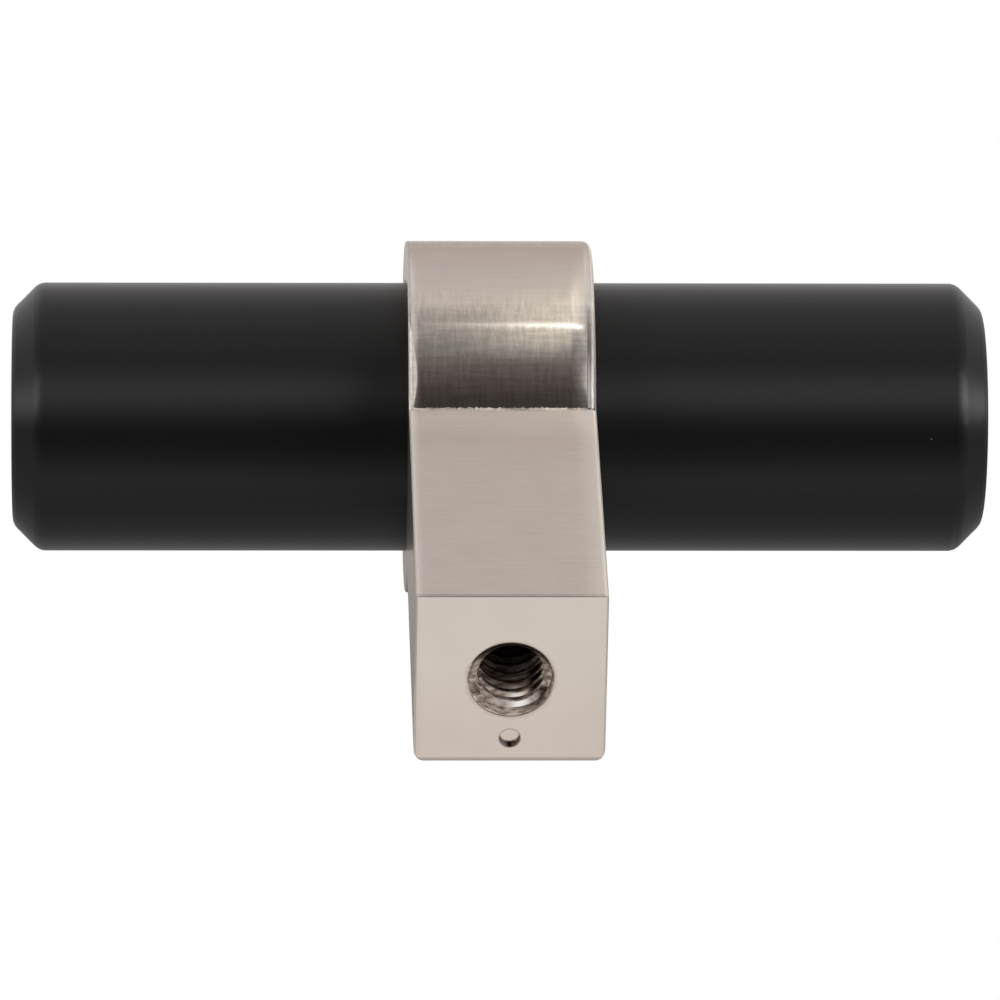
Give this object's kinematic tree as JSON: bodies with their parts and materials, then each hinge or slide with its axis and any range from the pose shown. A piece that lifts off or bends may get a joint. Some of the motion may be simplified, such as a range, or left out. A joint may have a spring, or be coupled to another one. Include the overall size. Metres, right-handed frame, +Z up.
{
  "type": "cabinet pull",
  "caption": "T-bar cabinet pull: round black bar with chamfered ends held through the ring of a square-footed satin nickel post, with a tapped hole in its mounting face",
  "frame": {"origin": "centre of the mounting face, where the tapped hole opens", "axes": "+X along the bar, +Y out of the mounting face towards the door it is fixed to, +Z up on a vertical door"},
  "size_m": [0.0508, 0.0353, 0.0184],
  "materials": {
    "bar_black": "satin matte black",
    "post_nickel": "brushed satin nickel",
    "screw_steel": "dull plain steel"
  },
  "bodies": {
    "root": {"bar": "bar_black", "post": "post_nickel", "set_screw": "screw_steel"}
  },
  "joints": []
}
